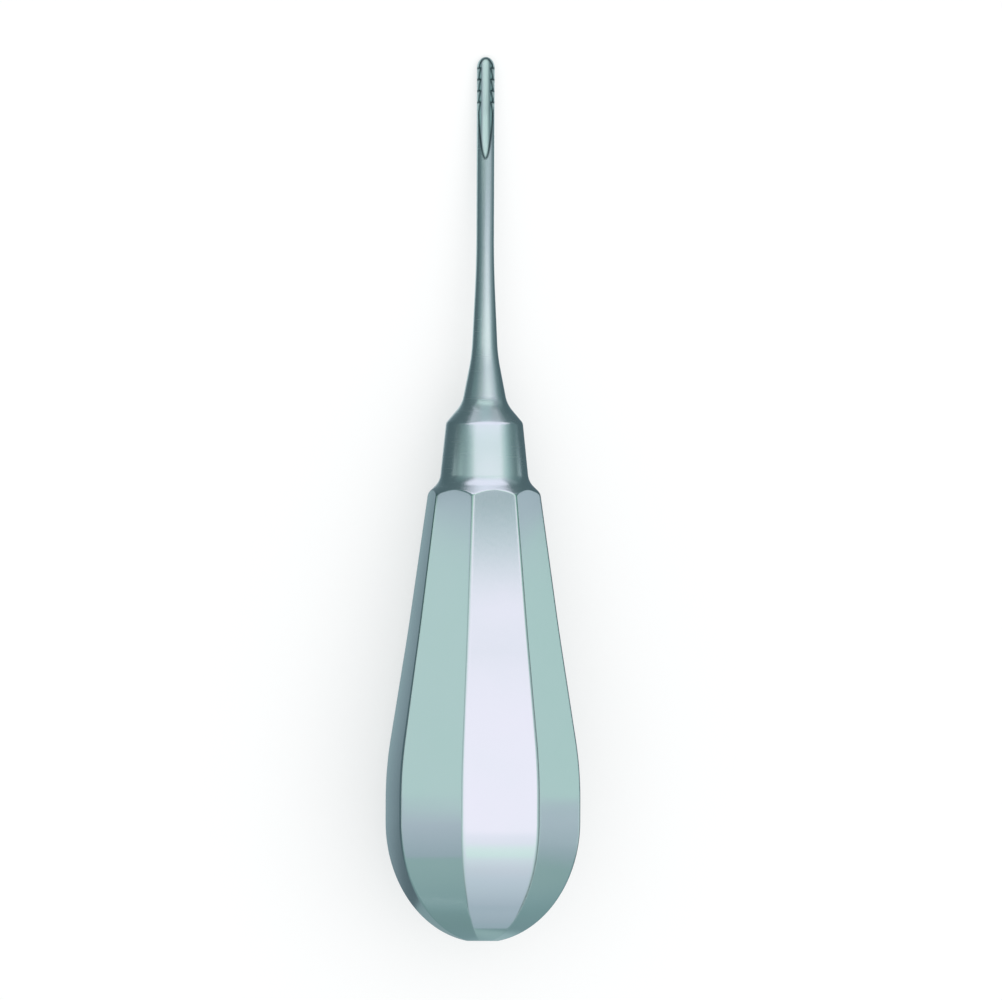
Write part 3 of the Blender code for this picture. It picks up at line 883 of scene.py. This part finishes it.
def satin_steel(settings, place):
    """Ground steel: fine lines along the flats and round the turned parts, under soft cloudy tones, with painted
    shade on the lands near the shoulder and along the gouge's edges.
    """
    material, nodes = new_material("satin_steel")
    to_bench = place.inverted()
    mapping = nodes.add("ShaderNodeMapping", vector_type="POINT")
    nodes.join(nodes.place(), mapping.inputs["Vector"])
    mapping.inputs["Location"].default_value = to_bench.to_translation()
    mapping.inputs["Rotation"].default_value = to_bench.to_euler()
    bench = mapping.outputs["Vector"]
    ground = nodes.mark("ground")
    round_axis = nodes.noise(nodes.stretched(bench, (LINES_ALONG, LINES_ALONG, LINES_ACROSS)), 1.0, 2.0)
    along_flats = nodes.noise(nodes.stretched(bench, (LINES_ACROSS, LINES_ACROSS, LINES_ALONG)), 1.0, 2.0)
    grain = nodes.blend_values(ground, nodes.spread(round_axis, *TURNED_LINES), along_flats)

    shader = nodes.add("ShaderNodeBsdfPrincipled")
    tone = nodes.blend_colours(nodes.noise(bench, CLOUD_SCALE, 3.0), settings.steel, settings.steel_cool)
    # Painted shade: the lands near the shoulder, and the gouge's edge lines and filed faces, are blended towards
    # darker tints
    for name, tint in (("land", settings.land_shade_tint), ("line", settings.edge_line_shade)):
        tone = nodes.blend_colours(nodes.mark(name), tone, tint)
    nodes.join(tone, shader.inputs["Base Color"])
    shader.inputs["Metallic"].default_value = 1.0
    shader.inputs["Specular Tint"].default_value = (*settings.edge_tint, 1)

    rough = nodes.spread(ground, settings.turned_roughness, settings.ground_roughness)
    gouge = nodes.spread(nodes.mark("cut"), 0.0, settings.gouge_roughness - settings.turned_roughness)
    lines = nodes.spread(grain, -ROUGHNESS_SPREAD, ROUGHNESS_SPREAD)
    nodes.join(nodes.sum(nodes.sum(rough, gouge), lines), shader.inputs["Roughness"])

    bump = nodes.add("ShaderNodeBump")
    bump.inputs["Strength"].default_value = settings.grain_depth
    bump.inputs["Distance"].default_value = LINE_HEIGHT
    nodes.join(grain, bump.inputs["Height"])
    nodes.join(bump.outputs["Normal"], shader.inputs["Normal"])

    shader.inputs["Anisotropic"].default_value = settings.brushing
    normal = nodes.add("ShaderNodeNewGeometry").outputs["Normal"]
    tangent = nodes.add("ShaderNodeMix", data_type="VECTOR")
    nodes.join(ground, tangent.inputs["Factor"])
    tangent.inputs[4].default_value = ALONG
    nodes.join(nodes.vector_maths("CROSS_PRODUCT", normal, ALONG), tangent.inputs[5])
    nodes.join(tangent.outputs[1], shader.inputs["Tangent"])
    nodes.show(shader.outputs["BSDF"])
    return material


class MESH_OT_make_root_elevator(Operator):
    """Turn, grind, forge and file the elevator, and lay it where the frame has it"""

    bl_idname = "mesh.make_root_elevator"
    bl_label = "Root Elevator"

    def execute(self, context):
        scene = context.scene
        handle, shank, blade = scene.elevator_handle, scene.elevator_shank, scene.elevator_blade
        start = shank_start(handle, shank)
        place = bench_to_table(handle.flats_turn)
        steel = satin_steel(scene.elevator_steel, place)
        elevator = turned_blank(handle, shank, blade)
        for _ in (TURNED, CHANNELLED, FILED):
            elevator.data.materials.append(steel)
        cut_away(elevator, channel_wheel(start, shank, blade))
        cut_away(elevator, lip_file(shank, blade))
        mark_gouge(elevator, gouge_foot(shank, blade), scene.elevator_steel.line_width)
        elevator.data.materials.clear()
        elevator.data.materials.append(steel)
        elevator.data.transform(place)
        for vert in elevator.data.vertices:
            vert.co.z = max(vert.co.z, 0.0)
        elevator.data.shade_smooth()
        elevator.data.set_sharp_from_angle(angle=SHARP_ANGLE)
        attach(elevator, "root")
        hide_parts(NODE)
        return {"FINISHED"}


def floor_paper(settings):
    """White paper: part of what the camera and the steel see of it is plain white, so its shadow is faint."""
    material, nodes = new_material("floor_paper")
    paper = nodes.add("ShaderNodeBsdfDiffuse")
    paper.inputs["Color"].default_value = (*settings.floor_colour, 1)
    white = nodes.add("ShaderNodeEmission")
    white.inputs["Color"].default_value = (*WHITE, 1)
    white.inputs["Strength"].default_value = 1.0
    path = nodes.add("ShaderNodeLightPath")
    seen = nodes.sum(path.outputs["Is Camera Ray"], path.outputs["Is Glossy Ray"])
    mixed = nodes.add("ShaderNodeMixShader")
    nodes.join(nodes.spread(seen, 0.0, settings.floor_whiteness), mixed.inputs["Fac"])
    nodes.join(paper.outputs["BSDF"], mixed.inputs[1])
    nodes.join(white.outputs["Emission"], mixed.inputs[2])
    nodes.show(mixed.outputs["Shader"])
    return material


def make_floor(settings):
    shape = bmesh.new()
    bmesh.ops.create_grid(shape, x_segments=1, y_segments=1, size=settings.floor_size / 2)
    floor = new_object("studio_floor", shape)
    floor.data.materials.append(floor_paper(settings))


def make_sky(settings):
    """A pale studio that is darker towards its walls. The camera itself sees it plain white."""
    world = bpy.data.worlds.new("studio_sky")
    world.use_nodes = True
    nodes = Nodes(world.node_tree)
    direction = nodes.add("ShaderNodeTexCoord")
    parts = nodes.add("ShaderNodeSeparateXYZ")
    nodes.join(direction.outputs["Generated"], parts.inputs["Vector"])
    height = nodes.add("ShaderNodeMapRange")
    nodes.join(parts.outputs["Z"], height.inputs["Value"])
    height.inputs["From Min"].default_value = HORIZON_TOP
    height.inputs["From Max"].default_value = CEILING_FOOT
    background = nodes.add("ShaderNodeBackground")
    sky_colour = nodes.blend_colours(height.outputs["Result"], settings.horizon, settings.ceiling)
    seen = nodes.add("ShaderNodeLightPath").outputs["Is Camera Ray"]
    nodes.join(nodes.blend_colours(seen, sky_colour, WHITE), background.inputs["Color"])
    nodes.show(background.outputs["Background"], "ShaderNodeOutputWorld")
    bpy.context.scene.world = world


def card_material(name, tones):
    """A glow of one colour, or of tones along axes that multiply: {axis: ((place, colour), ...)}."""
    material, nodes = new_material(name)
    glow = nodes.add("ShaderNodeEmission")
    if isinstance(tones, dict):
        parts = nodes.add("ShaderNodeSeparateXYZ")
        nodes.join(nodes.place(), parts.inputs["Vector"])
        colour = None
        for axis, steps in tones.items():
            tone = nodes.ramp(parts.outputs[axis], steps)
            colour = nodes.multiply_colours(colour, tone) if colour else tone
        nodes.join(colour, glow.inputs["Color"])
    else:
        glow.inputs["Color"].default_value = (*tones, 1)
    nodes.show(glow.outputs["Emission"])
    return material, nodes, glow


def box_material(settings):
    """The big box's cloth, with its tones along Y and the dark shade in it."""
    material, nodes, glow = card_material("soft_box_cloth", {1: BOX_TONES})
    along = glow.inputs["Color"].links[0].from_socket
    middle = (settings.shade_across, settings.shade_along, settings.box_height)
    off = nodes.vector_maths("SUBTRACT", nodes.place(), middle)
    scaled = nodes.vector_maths("DIVIDE", off, (settings.shade_width, settings.shade_length, 1))
    distance = nodes.add("ShaderNodeVectorMath", operation="LENGTH")
    nodes.join(scaled, distance.inputs[0])
    shade = nodes.ramp(distance.outputs["Value"], SHADE_TONES)
    nodes.join(nodes.multiply_colours(along, shade), glow.inputs["Color"])
    return material


def stage_card(name, low, high, material):
    """A flat card between two corners, flat along the axis in which they agree. The camera doesn't see it."""
    shape = bmesh.new()
    low, high = Vector(low), Vector(high)
    size = high - low
    sides = [Vector((0, 0, 0)) for _ in range(2)]
    spans = [axis for axis in range(3) if size[axis] > 0]
    for side, axis in zip(sides, spans):
        side[axis] = size[axis]
    turn = Matrix((sides[0], sides[1], sides[0].cross(sides[1]).normalized())).transposed().to_4x4()
    bmesh.ops.create_grid(
        shape, x_segments=1, y_segments=1, size=0.5, matrix=Matrix.Translation((low + high) / 2) @ turn
    )
    return hidden_stage(new_object(name, shape), material)


def hidden_stage(card, material):
    """Only the steel shows this card."""
    card.data.materials.append(material)
    card.visible_camera = False
    card.visible_diffuse = False
    card.visible_shadow = False
    return card


def make_lights(settings):
    """The even fill and the big soft box overhead, and the cards, papers and flags that only the steel shows."""
    light = bpy.data.lights.new("even_fill", "AREA")
    light.shape = "SQUARE"
    light.size = FILL_SIZE
    light.energy = settings.fill_strength * FILL_SIZE**2 * math.pi
    fill = bpy.data.objects.new("even_fill", light)
    fill.location = (0, 0, FILL_HEIGHT)
    fill.visible_camera = False
    fill.visible_glossy = False
    bpy.context.scene.collection.objects.link(fill)

    half = settings.box_width / 2
    box_low = (-half, settings.box_rear, settings.box_height)
    box_high = (half, settings.box_front, settings.box_height)
    stage_card("soft_box", box_low, box_high, box_material(settings))
    for name, low, high, tones in CARDS:
        stage_card(name, low, high, card_material(name, tones)[0])
    floor_flag("left_floor_flag", -1)
    floor_flag("right_floor_flag", 1)


def floor_flag(name, side):
    """Grey paper on the floor that follows the elevator's outline, and is darker away from its rim."""
    material, nodes, glow = card_material(name, (0, 0, 0))
    nodes.join(nodes.ramp(nodes.mark("darkness"), FLAG_TONES), glow.inputs["Color"])
    scene = bpy.context.scene
    outline = blank_outline(scene.elevator_handle, scene.elevator_shank, scene.elevator_blade)
    shoulder = flank_corners(scene.elevator_handle)[-1].x
    shape = bmesh.new()
    mark = shape.verts.layers.float.new("darkness")
    rim = []
    for height, radius in outline:
        gap, share = HANDLE_FLAG_GAP if height < shoulder else SHANK_FLAG_GAP
        across = side * (radius + gap + share * radius)
        rim.append(shape.verts.new((across, BUTT.y + ALONG.y * height, FLAG_HEIGHT)))
        rim[-1][mark] = HANDLE_RIM_DARKNESS if height < shoulder else SHANK_RIM_DARKNESS
    edges = [shape.edges.new(pair) for pair in zip(rim, rim[1:])]
    wide_end = BUTT.y + ALONG.y * (shoulder - WIDE_FLAG_END)
    for step in (scene.elevator_stage.flag_edge_width, None):
        grown = bmesh.ops.extrude_edge_only(shape, edges=edges)["geom"]
        edges = [item for item in grown if isinstance(item, bmesh.types.BMEdge)]
        for vert in grown:
            if isinstance(vert, bmesh.types.BMVert):
                reach = WIDE_FLAG_REACH if side < 0 and vert.co.y < wide_end else FLAG_REACH
                vert.co.x = vert.co.x + side * step if step else side * reach
                vert[mark] = FLAG_DARKNESS
    return hidden_stage(new_object(name, shape), material)


def make_camera(settings, gouge_side):
    """Looks straight at the gouge's open side, with the elevator upright in the image."""
    data = bpy.data.cameras.new("camera")
    data.type = "ORTHO"
    data.ortho_scale = settings.picture_width
    data.clip_start = 1 * MM
    camera = bpy.data.objects.new("camera", data)
    bpy.context.scene.collection.objects.link(camera)
    pixel = settings.picture_width / IMAGE_WIDTH
    overall = bpy.context.scene.elevator_shank.overall_length
    roll = math.asin((settings.tip_across - settings.butt_across) * pixel / overall)
    image_up = Matrix.Rotation(roll, 3, gouge_side) @ ALONG
    image_right = image_up.cross(gouge_side)
    tip = BUTT + ALONG * overall
    to_right = (IMAGE_WIDTH / 2 - settings.tip_across) * pixel
    to_top = (settings.tip_down - IMAGE_HEIGHT / 2) * pixel
    middle = tip + image_right * to_right + image_up * to_top
    turn = Matrix((image_right, image_up, gouge_side)).transposed().to_4x4()
    camera.matrix_world = Matrix.Translation(middle + gouge_side * CAMERA_DISTANCE) @ turn
    bpy.context.scene.camera = camera


class SCENE_OT_make_elevator_stage(Operator):
    """Make the pale floor, the soft light and the camera"""

    bl_idname = "scene.make_elevator_stage"
    bl_label = "Studio"

    def execute(self, context):
        settings = context.scene.elevator_stage
        place = bench_to_table(context.scene.elevator_handle.flats_turn)
        gouge_side = (place.to_3x3() @ Vector((0, -1, 0))).normalized()
        make_floor(settings)
        make_sky(settings)
        make_lights(settings)
        make_camera(settings, gouge_side)
        context.scene.view_settings.view_transform = "Standard"
        return {"FINISHED"}


GROUPS = {
    "elevator_handle": ElevatorHandle,
    "elevator_shank": ElevatorShank,
    "elevator_blade": ElevatorBlade,
    "elevator_steel": ElevatorSteel,
    "elevator_stage": ElevatorStage,
}


class VIEW3D_PT_root_elevator(Panel):
    """Lists the sizes and colours, and the two buttons"""

    bl_idname = "VIEW3D_PT_root_elevator"
    bl_label = "Root Elevator"
    bl_space_type = "VIEW_3D"
    bl_region_type = "UI"
    bl_category = "Elevator"

    def draw(self, context):
        self.layout.operator(MESH_OT_make_root_elevator.bl_idname)
        self.layout.operator(SCENE_OT_make_elevator_stage.bl_idname)
        for group_name in GROUPS:
            column = self.layout.column(heading=group_name.replace("_", " "))
            group = getattr(context.scene, group_name)
            for size_name in group.__annotations__:
                column.prop(group, size_name)


OPERATORS_AND_PANEL = (MESH_OT_make_root_elevator, SCENE_OT_make_elevator_stage, VIEW3D_PT_root_elevator)


def register():
    for group_name, group in GROUPS.items():
        bpy.utils.register_class(group)
        setattr(bpy.types.Scene, group_name, PointerProperty(type=group))
    for item in OPERATORS_AND_PANEL:
        bpy.utils.register_class(item)


def unregister():
    for item in reversed(OPERATORS_AND_PANEL):
        bpy.utils.unregister_class(item)
    for group_name, group in reversed(GROUPS.items()):
        delattr(bpy.types.Scene, group_name)
        bpy.utils.unregister_class(group)


def main():
    register()
    bpy.ops.mesh.make_root_elevator()
    bpy.ops.scene.make_elevator_stage()


if __name__ == "__main__":
    main()
